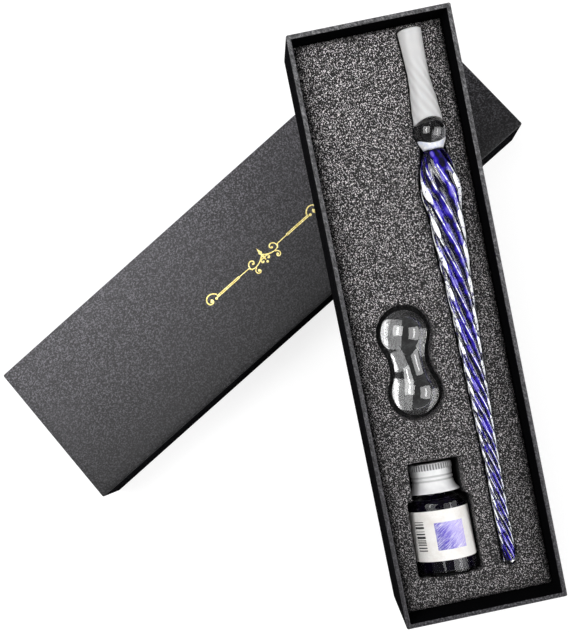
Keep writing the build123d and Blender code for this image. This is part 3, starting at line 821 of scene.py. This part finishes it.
def foam_piece(name, node, body, material):
    """Open-cell foam: the CAD layer remeshed fine, with its surface broken up by pores."""
    rough = linked(name + "_rough", frame["nodes"][node].data.copy())
    remesh = rough.modifiers.new("fine", "REMESH")
    remesh.mode = "VOXEL"
    remesh.voxel_size = FOAM_VOXEL * MM
    remesh.use_smooth_shade = True
    mesh = bpy.data.meshes.new_from_object(rough.evaluated_get(bpy.context.evaluated_depsgraph_get()))
    bpy.data.objects.remove(rough)
    spots = mesh_points(mesh)
    normals = np.zeros(len(mesh.vertices) * 3, np.float32)
    mesh.vertex_normals.foreach_get("vector", normals)
    pores = [noise.noise(Vector(spot) * PORE_SCALE) for spot in spots / MM]
    spots += normals.reshape(-1, 3) * (np.array(pores)[:, None] - PORE_SINK) * FOAM_RELIEF * MM
    mesh.vertices.foreach_set("co", spots.ravel())
    mesh.update()
    mesh.materials.clear()
    mesh.materials.append(material)
    made = linked(name, mesh)
    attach(made, body)
    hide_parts(node)


# Pen

def lobe_share(angle, lobes, valley):
    """Radius of a lobed outline as a share, at an angle from a crest: arcs that meet in valleys."""
    step = 2 * pi / lobes
    off = (angle + step / 2) % step - step / 2
    middle = (1 - valley ** 2) / (2 * (1 - valley * cos(step / 2)))
    return middle * cos(off) + sqrt(max((1 - middle) ** 2 - (middle * sin(off)) ** 2, 0))


def lobe_turns(step):
    """Turn of the barrel's lobes at each place along it, in radians, by a running sum."""
    turns = {}
    place = NECK_START
    turn = 0.0
    while place <= BARREL_END + 4:
        turns[round(place / step)] = turn
        turn -= step * (2 * pi / LOBES) / smooth(LOBE_STEPS, place)
        place += step
    return turns


TURN_STEP = 0.25
TURNS = lobe_turns(TURN_STEP)
TURN_SHIFT = -TURNS[round(LOBE_AT_EDGE / TURN_STEP)]


def barrel_turn(place):
    index = min(max(round(place / TURN_STEP), min(TURNS)), max(TURNS))
    return TURNS[index] + TURN_SHIFT


def pen_ring(place, radius, lobes, valley, turn):
    """A ring of the pen's clear glass; its lobes are a little uneven, as hand-pulled glass is."""
    ring = []
    for local in around(PEN_SEGMENTS):
        lobe = int(((local / (2 * pi)) * lobes + 0.5) % lobes)
        uneven = 1 + LOBE_UNEVEN * noise.noise(Vector((place * 0.16, lobe * 7.3, lobes))) if valley < 1 else 1
        at = radius * lobe_share(local, lobes, valley) * uneven
        ring.append((at * cos(local + turn), at * sin(local + turn), place))
    return ring


def nib_rings():
    rings = []
    turn = 0.0
    step = 0.4
    count = ceil((NIB_TIP - NIB_START) / step)
    for k in range(count + 1):
        place = NIB_START + (NIB_TIP - NIB_START) * k / count
        radius = smooth(NIB_RADII, place)
        rings.append(pen_ring(-place, radius, NIB_FLUTES, NIB_VALLEY, turn))
        turn += (NIB_TIP - NIB_START) / count * 2 * pi / (NIB_TWIST * max(radius, 1.0))
    return rings[::-1]


def ball_rings():
    low = -sqrt(BALL_RADIUS ** 2 - NIB_RADII[0][1] ** 2)
    rings = []
    count = 24
    for k in range(count + 1):
        place = low + (NECK_START - low) * k / count
        radius = sqrt(BALL_RADIUS ** 2 - place ** 2)
        rings.append(pen_ring(place, radius, LOBES, 1.0, barrel_turn(place)))
    return rings


def barrel_rings():
    rings = []
    start = NECK_START + 0.5
    start_radius = 3.95
    taper = 0.3
    place = start
    while place < BARREL_END:
        radius = smooth(BARREL_RADII, place) if place > NECK_END else start_radius - (place - start) * taper
        rings.append(pen_ring(place, radius, LOBES, smooth(LOBE_VALLEYS, place), barrel_turn(place)))
        place += 0.45
    steps = 8
    for k in range(steps):
        angle = radians(90 * k / steps)
        radius = smooth(BARREL_RADII, BARREL_END) * cos(angle)
        valley = smooth(LOBE_VALLEYS, BARREL_END) + 0.1 * sin(angle)
        rings.append(pen_ring(BARREL_END + TAIL_RADIUS * sin(angle), radius, LOBES, min(valley, 0.999),
                              barrel_turn(BARREL_END)))
    return rings


def pen_glass(head, barrel):
    points, faces = closed_stack(nib_rings() + ball_rings())
    made = piece("pen_head_glass", points, faces, PEN, head, "pen", sharp=80)
    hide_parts("pen_nib", "pen_ball")
    points, faces = closed_stack(barrel_rings())
    made = piece("pen_barrel_glass", points, faces, PEN, barrel, "pen", sharp=80)
    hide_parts("pen_barrel", "pen_tail")


def pen_core(material):
    """The coloured core, lobed and twisted with the barrel, its bands and a painted shade at its sides marked
    for the material.
    """
    rings = []
    place = CORE_START
    while place <= CORE_END:
        rounding = min(1.0, sqrt(place - CORE_START) + 0.3, sqrt((CORE_END - place) / 2) + 0.1)
        radius = smooth(BARREL_RADII, place) * smooth(CORE_SHARES, place) * rounding
        rings.append(pen_ring(place, radius, LOBES, CORE_VALLEY, barrel_turn(place)))
        place += 0.5
    points, faces = closed_stack(rings)
    made = piece("pen_blue_core", points, faces, PEN, material, "pen", sharp=80)
    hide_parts("pen_colour_core")

    def band(local):
        angle = atan2(local.y, local.x) - barrel_turn(local.z)
        waver = noise.noise(Vector((local.z * 0.12, 3.0, angle))) * 0.5
        wide = 0.16 * cos(LOBES / 2 * angle + 1.2 + waver)
        narrow = 0.3 * cos(LOBES * angle)
        # Painted shade: darker at the core's sides across the tray, whatever the turn of its lobes.
        edge = abs(local.x) / hypot(local.x, local.y)
        return 0.5 + wide + narrow - 0.3 * max(0.0, edge - 0.6)

    set_attribute(made, "band", PEN, band)


def leaf_places(side):
    """Places along the pen where the crest of a lobe lies at an angle round it."""
    found = []
    for key in sorted(TURNS):
        place = key * TURN_STEP
        lobe = (side - barrel_turn(place)) * LOBES / (2 * pi)
        ahead = (side - barrel_turn(place + TURN_STEP)) * LOBES / (2 * pi)
        if LEAF_FIRST < place < STRAND_END and floor(lobe) != floor(ahead):
            found.append(place)
    return found


def thread_ring(place, angle, out, tall, wide):
    """A ring of a glowing white thread, which is painted highlight, at an angle round the pen: tall away from
    the axis, wide along the skin.
    """
    ring = []
    for turn in around(12):
        reach = out + tall * cos(turn)
        aside = wide * sin(turn)
        ring.append((reach * cos(angle) - aside * sin(angle), reach * sin(angle) + aside * cos(angle), place))
    return ring


def leaf_rings(place, side):
    """A leaf of glowing white glass along its lobe, a painted highlight at the pen's edge, broad at its lower
    end on the left and its upper on the right.
    """
    length = LEAF_LENGTH * smooth(LOBE_STEPS, place)
    lean = LEAF_LEANS[0] if side < pi / 2 else LEAF_LEANS[1]
    uneven = 1 + 0.3 * noise.noise(Vector((place * 0.7, side, 1.0)))
    rings = []
    count = 14
    for k in range(count + 1):
        share = k / count
        at = place + (share - 0.5) * length
        radius = smooth(BARREL_RADII, at)
        angle = side + barrel_turn(at) - barrel_turn(place)
        size = radius * max(sin(pi * share ** lean), 0.02) * uneven * smooth(LEAF_SIZES, at)
        rings.append(thread_ring(at, angle, radius * LEAF_PLACE, LEAF_TALL * size, LEAF_WIDE * size))
    return rings


def strand_rings(lobe):
    """A thin glowing white strand under the crest of a lobe, broken here and there: a painted highlight along
    the crest.
    """
    rings = []
    place = STRAND_START
    while place <= STRAND_END:
        radius = smooth(BARREL_RADII, place)
        angle = 2 * pi * lobe / LOBES + barrel_turn(place)
        whole = 4 * (noise.noise(Vector((place * 0.3, lobe * 5.1, 2.0))) + 0.2)
        half = (0.03 * radius + 0.02) * max(0.03, min(1.0, whole))
        rings.append(thread_ring(place, angle, radius * STRAND_PLACE, half, half))
        place += 0.5
    return rings


def tail_drop_rings():
    """A pale drop of glowing glass in the rounded end of the pen; its glow is painted light."""
    rings = []
    count = 8
    for k in range(count + 1):
        share = k / count
        radius = TAIL_DROP_RADIUS * max(sin(pi * share), 0.05)
        place = TAIL_DROP_START + TAIL_DROP_LENGTH * share
        rings.append(thread_ring(place, TAIL_DROP_ANGLE, TAIL_DROP_OUT, radius, radius))
    return rings


# Painted highlights: leaves at both edges, strands along the crests and a drop at the tail.
def pen_painted_highlights(material):
    sides = (LEAF_FORWARD, pi - LEAF_FORWARD)
    stacks = [leaf_rings(place, side) for side in sides for place in leaf_places(side)]
    stacks += [strand_rings(lobe) for lobe in range(LOBES)] + [tail_drop_rings()]
    points, faces = joined(closed_stack(rings) for rings in stacks)
    piece("pen_painted_highlight_threads", points, faces, PEN, material, "pen", sharp=80)


COLLAR_EDGE = (4.3, 4.4)
COLLAR_PROFILE = [(0.4, 4.2), (3.75, 4.1), (4.45, 3.3), (4.9, 2.6), (5.08, 2.62), (4.85, 3.5), (4.5, 4.3),
                  (4.12, 4.9), (3.8, 5.6), (3.55, 6.2), (0.4, 6.4)]


def dipped(radius, height, angle):
    """The collar's outside at its front and back, drawn down to a plain ring."""
    dip = sin(angle) ** 2 if radius > COLLAR_EDGE[0] else 0.0
    return radius + (COLLAR_EDGE[0] - radius) * dip, height + (COLLAR_EDGE[1] - height) * dip


def pen_collar(material):
    """The milky collar, which cups the ball at its sides."""
    points, faces = closed_stack(lathe(COLLAR_PROFILE, 48, dipped))
    piece("pen_milky_collar", points, faces, PEN, material, "pen", sharp=80)


def sleeve_wave(angle, place):
    return sin(SLEEVE_RIPPLES * (angle - place * SLEEVE_RIPPLE_TURN))


def sleeve_ring(place, radius, ripple):
    """A ring of the sleeve, whose mouth is hollowed at the top and bottom where it sits on the ball."""
    ring = []
    hollow = SLEEVE_HOLLOW * max(0.0, 1 - (place - SLEEVE_RADII[0][0]) / SLEEVE_HOLLOW_LENGTH)
    for angle in around(SLEEVE_SEGMENTS):
        out = radius + sleeve_wave(angle, place) * ripple
        ring.append((out * cos(angle), out * sin(angle), -place - hollow * sin(angle) ** 2))
    return ring


def sleeve(material):
    """Thin frosted tube with soft spiral ripples where it hugs the nib, and rounded rims."""
    first = SLEEVE_RADII[0][0]
    last = SLEEVE_RADII[-1][0]
    count = 60
    outer = []
    inner = []
    for k in range(count + 1):
        place = first + (last - first) * k / count
        radius = smooth(SLEEVE_RADII, place)
        ripple = SLEEVE_RIPPLE_HEIGHT * fade(place, SLEEVE_SMOOTH_FROM, 26.0)
        outer.append(sleeve_ring(place, radius, ripple))
        inner.append(sleeve_ring(place, radius - SLEEVE_WALL, ripple))
    middle = SLEEVE_WALL / 2
    far = sleeve_ring(last + 0.2, smooth(SLEEVE_RADII, last) - middle, 0)
    near = sleeve_ring(first - 0.2, smooth(SLEEVE_RADII, first) - middle, 0)
    rings = outer + [far] + inner[::-1] + [near] + [outer[0]]
    points = [p for ring in rings for p in ring]
    faces = ring_faces(len(rings), SLEEVE_SEGMENTS)
    made = piece("nib_sleeve_frosted", points, faces, SLEEVE, material, "sleeve", sharp=80)
    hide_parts("nib_sleeve")

    # Painted light: paler on each ripple's outward swell and at both rims, over an uneven cloudiness.
    def streak_and_highlight(local):
        place = -local.z
        angle = atan2(local.y, local.x)
        strength = fade(place, SLEEVE_SMOOTH_FROM, 27.0)
        rim = max(0.0, 1 - abs(place - last) / 0.8) + max(0.0, 1 - abs(place - first) / 0.6)
        plain = 0.55 + 0.25 * noise.noise(Vector((angle * 2, place * 0.25, 0)))
        return min(1.0, plain + strength * sleeve_wave(angle, place) * 0.45 + rim)

    set_attribute(made, "streak_and_highlight", SLEEVE, streak_and_highlight)


# Pen rest

def rest_radius(along):
    """Radius of the peanut at a place along it: a round lobe at each end, a hollow waist."""
    centre = REST_LENGTH / 2 - REST_LOBE
    hollow = (centre ** 2 + REST_WAIST ** 2 - REST_LOBE ** 2) / (2 * (REST_LOBE - REST_WAIST))
    reach = sqrt(centre ** 2 + (hollow + REST_WAIST) ** 2)
    touch = centre - REST_LOBE * centre / reach
    off = abs(along)
    if off > touch:
        return sqrt(max(REST_LOBE ** 2 - (off - centre) ** 2, 0))
    return hollow + REST_WAIST - sqrt(hollow ** 2 - off ** 2)


def pen_rest(material):
    low, high = extents("pen_rest", TRAY)
    middle = (low + high) / 2
    axis_height = low[2] + REST_FOOT
    rings = []
    count = 120
    for k in range(count + 1):
        along = -REST_LENGTH / 2 * cos(pi * k / count)
        radius = max(rest_radius(along), 0.02)
        ring = []
        for angle in around(REST_SEGMENTS):
            slant = REST_SLANT[0] * (radius * cos(angle) - REST_LOBE)
            slant += REST_SLANT[1] * (along + REST_SLANT_FROM)
            height = max(radius * sin(angle), slant - REST_FOOT)
            ring.append((middle[0] + radius * cos(angle), middle[1] + along, axis_height + height))
        rings.append(ring)
    points, faces = closed_stack(rings)
    made = piece("pen_rest_glass", points, faces, TRAY, material, "rest", sharp=40)
    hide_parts("pen_rest")


# Bottle

def ink(material):
    """The ink, a hair into the glass so that no air shows between them."""
    made = linked("ink_dark", frame["nodes"]["ink_fill"].data.copy())
    work = bmesh.new()
    work.from_mesh(made.data)
    bmesh.ops.remove_doubles(work, verts=work.verts, dist=0.001 * MM)
    work.normal_update()
    for vertex in work.verts:
        vertex.co += vertex.normal * INK_OVERLAP * MM
    work.to_mesh(made.data)
    work.free()
    made.data.materials.clear()
    made.data.materials.append(material)
    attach(made, "bottle")
    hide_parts("ink_fill")


def cap_profile():
    """Side of the metal cap from the middle of its top, out and down, and back up inside."""
    top = CAP_HIGH
    side = [(0.02, top - 0.05), (4.0, top - 0.05), (6.9, top - 0.12)]
    side += arc((7.4, top - 0.62), 0.6, (100, 80, 60, 40, 20, 0))
    side += [(8.0, top - 1.3), (8.0, top - 2.3), (7.78, top - 2.6), (7.75, top - 4.2)]
    for start in CAP_RINGS:
        side += [(7.72, top - start), (7.5, top - start - 0.25), (7.5, top - start - 0.6),
                 (7.75, top - start - 0.9)]
    side += [(7.8, top - 7.6), (8.3, CAP_LOW + 1.7), (8.9, CAP_LOW + 0.9), (9.35, CAP_LOW + 0.35),
             (9.4, CAP_LOW + 0.12), (9.2, CAP_LOW)]
    inside = [(8.6, CAP_LOW + 0.45), (7.9, CAP_LOW + 1.6), (7.38, top - 7.4), (7.38, top - 1.0),
              (7.0, top - CAP_WALL), (0.02, top - CAP_WALL)]
    return side + inside


def ridged(radius, height, angle):
    """The knurl: ridges round the top ring."""
    in_knurl = abs(radius - KNURL_RADIUS) < 0.05 and height > CAP_HIGH - KNURL_HEIGHT
    return radius + (0.2 * cos(CAP_RIDGES * angle) - 0.14 if in_knurl else 0.0), height


def cap(material):
    points, faces = closed_stack(lathe(cap_profile(), CAP_RIDGES * 6, ridged))
    made = piece("cap_aluminium", points, faces, BOTTLE, material, "cap", sharp=40)
    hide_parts("bottle_cap")

    # Painted shade: how dark the knurl's valleys and the ring grooves are drawn.
    def painted_groove_shade(local):
        down = CAP_HIGH - local.z
        deep = 0.5 - 0.5 * cos(CAP_RIDGES * atan2(local.y, local.x))
        in_knurl = 0.3 < down < KNURL_HEIGHT and hypot(local.x, local.y) > KNURL_RADIUS - 0.4
        in_ring = any(start + 0.2 < down < start + 0.65 for start in CAP_RINGS)
        return 0.9 * sqrt(deep) if in_knurl else 0.4 * in_ring

    set_attribute(made, "painted_groove_shade", BOTTLE, painted_groove_shade)


def label_patch(low, high, start, end, columns, rows):
    """Points, faces and flat coordinates of a thin printed patch that lies on the label."""
    points = []
    flat = []
    for lift in (0.0, PRINT_FILM):
        radius = BOTTLE_RADIUS + LABEL_PAPER + lift
        for k in range(rows + 1):
            for i in range(columns + 1):
                angle = radians(start + (end - start) * i / columns)
                points.append((radius * sin(angle), -radius * cos(angle), low + (high - low) * k / rows))
                flat.append((i / columns, k / rows))
    count = columns + 1
    sheet = len(points) // 2
    faces = [face for first in (0, sheet) for face in ring_faces(rows + 1, count, first, closed=False)]
    edge = list(range(count)) + [count * (k + 1) - 1 for k in range(1, rows + 1)]
    edge += [count * rows + k for k in range(columns - 1, -1, -1)]
    edge += [count * k for k in range(rows - 1, 0, -1)]
    for k, a in enumerate(edge):
        b = edge[(k + 1) % len(edge)]
        faces.append((a, b, b + sheet, a + sheet))
    return points, faces, flat


def violet_square(material):
    """The printed square, wrapped on the label, with its own flat coordinates."""
    points, faces, flat = label_patch(*SQUARE, 24, 8)
    made = piece("violet_square", points, faces, BOTTLE, material, "bottle")
    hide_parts("label_square")
    layer = made.data.uv_layers.new(name="flat")
    for loop in made.data.loops:
        layer.data[loop.index].uv = flat[loop.vertex_index]


def printed_bars(material):
    """Plain bars down the left of the label, from the place where the solid ones start."""
    inverse = BOTTLE.inverted()
    spots = [inverse @ Vector(p) / MM for p in node_points("label_bars")]
    start = degrees(min(atan2(spot.x, -spot.y) for spot in spots))
    top = max(spot.z for spot in spots) - BARS_BELOW_TOP
    bodies = []
    for down, height in BARS:
        points, faces, _ = label_patch(top - down - height, top - down, start, start + BAR_SWEEP, 8, 1)
        bodies.append((points, faces))
    made = piece("label_printed_bars", *joined(bodies), BOTTLE, material, "bottle")
    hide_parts("label_bars")


def dress_cad_nodes(inner, board, glass, label, disc):
    """Materials for the CAD nodes that stay."""
    chosen = {"lid_board": board, "tray_board": board, "lid_corner_stays": board, "tray_corner_stays": board,
              "lid_lining": inner, "tray_lining": inner, "bottle_glass": glass, "bottle_label": label,
              "cap_liner": disc}
    for node, material in chosen.items():
        mesh = frame["nodes"][node].data
        mesh.materials.clear()
        mesh.materials.append(material)


# Stage

def pale_floor():
    """A plain floor that the camera, and what glass and metal show, see as white."""
    mesh = bpy.data.meshes.new("floor")
    half = 6000 * MM
    corners = [(-half, -half, 0), (half, -half, 0), (half, half, 0), (-half, half, 0)]
    mesh.from_pydata(corners, [], [(0, 1, 2, 3)])
    pale = principled("floor_pale", Base_Color=(0.32, 0.32, 0.32, 1), Roughness=1.0, Specular_IOR_Level=0.0)
    rays = pale.add("LightPath")
    seen = pale.math("MAXIMUM", rays.outputs["Is Camera Ray"], rays.outputs["Is Transmission Ray"])
    seen = pale.math("MAXIMUM", seen, rays.outputs["Is Glossy Ray"])
    glow = pale.math("MULTIPLY", seen, 0.8)
    mesh.materials.append(pale.dress(Emission_Color=(1, 1, 1, 1), Emission_Strength=glow))
    linked("floor", mesh)


def world_light():
    """Even light, brighter near the horizon than overhead, behind a white background for the camera."""
    world = Shading(bpy.data.worlds.new("studio"), "Background")
    bpy.context.scene.world = world.data
    axes = world.add("SeparateXYZ", Vector=world.add("TexCoord").outputs["Generated"])
    band = world.ramp(axes.outputs["Z"], (0.1, (0.24, 0.24, 0.25)), (0.75, (0.1, 0.1, 0.1)))
    camera_ray = world.add("LightPath").outputs["Is Camera Ray"]
    world.dress(Color=world.mix(camera_ray, band, (1, 1, 1, 1)))


# The spot that the lamps face
LAMPS_FACE = (0.0, 0.0, 30.0)


def softbox(name, sideways, upwards, width, height, power, distance=1000.0):
    """A soft rectangular lamp, placed by its angles from the camera's view axis."""
    turn = bpy.context.scene.camera.matrix_world.to_3x3()
    back = turn @ Vector((tan(radians(sideways)), tan(radians(upwards)), 1)).normalized()
    across = (turn @ Vector((0, 1, 0))).cross(back).normalized()
    light = bpy.data.lights.new(name, "AREA")
    light.shape = "RECTANGLE"
    light.size = width * MM
    light.size_y = height * MM
    light.energy = power
    spot = (Vector(LAMPS_FACE) + back * distance) * MM
    linked(name, light).matrix_world = axes_matrix(across, back.cross(across), back, spot)


def make_camera():
    data = bpy.data.cameras.new("photo_view")
    data.sensor_fit = "HORIZONTAL"
    data.sensor_width = CAMERA_SENSOR
    data.lens = CAMERA_LENS
    data.clip_start = 10 * MM
    camera = linked("photo_view", data)
    x, y, z = (radians(turn) for turn in CAMERA_TURNS)
    turn = Matrix.Rotation(z, 4, "Z") @ Matrix.Rotation(y, 4, "Y") @ Matrix.Rotation(x, 4, "X")
    camera.matrix_world = Matrix.Translation(Vector(CAMERA_PLACE) * MM) @ turn
    bpy.context.scene.camera = camera
    bpy.context.view_layer.update()


make_camera()
softbox("left_window", -36, 16, 600, 600, 3.0, distance=650.0)
softbox("left_tube", -36, 16, 90, 420, 0.8, distance=640.0)
softbox("right_window", 46, 0, 1050, 1050, 6.8)
softbox("right_tube", 46, 0, 150, 700, 1.2, distance=990.0)
world_light()
pale_floor()
boxes(wrap_paper())
ornament(foil_material())
foam_piece("foam_layer_top", "foam_top", "tray", foam_material())
foam_piece("foam_layer_base", "foam_base", "tray", painted_shade_foam_material())
pen_glass(clear_glass("head_glass", 1.5, 0.6, (0.5, 0.5, 0.52)), clear_glass("barrel_glass", 1.25, 1.0, PALE))
pen_core(core_material())
pen_painted_highlights(painted_highlight_material())
pen_collar(collar_material())
sleeve(sleeve_material())
pen_rest(clear_glass("rest_glass", 1.6, 1.0, (0.97, 0.975, 0.98), coat=(1.85, 0.02), waves=(9.0, 0.1)))
ink(ink_material())
cap(cap_material())
violet_square(square_material())
printed_bars(print_material())
dress_cad_nodes(inner_paper(), greyboard(), clear_glass("bottle_glass", 1.1, 0.4, PALE), label_material(),
                liner_material())
bpy.context.scene.view_settings.view_transform = "Standard"
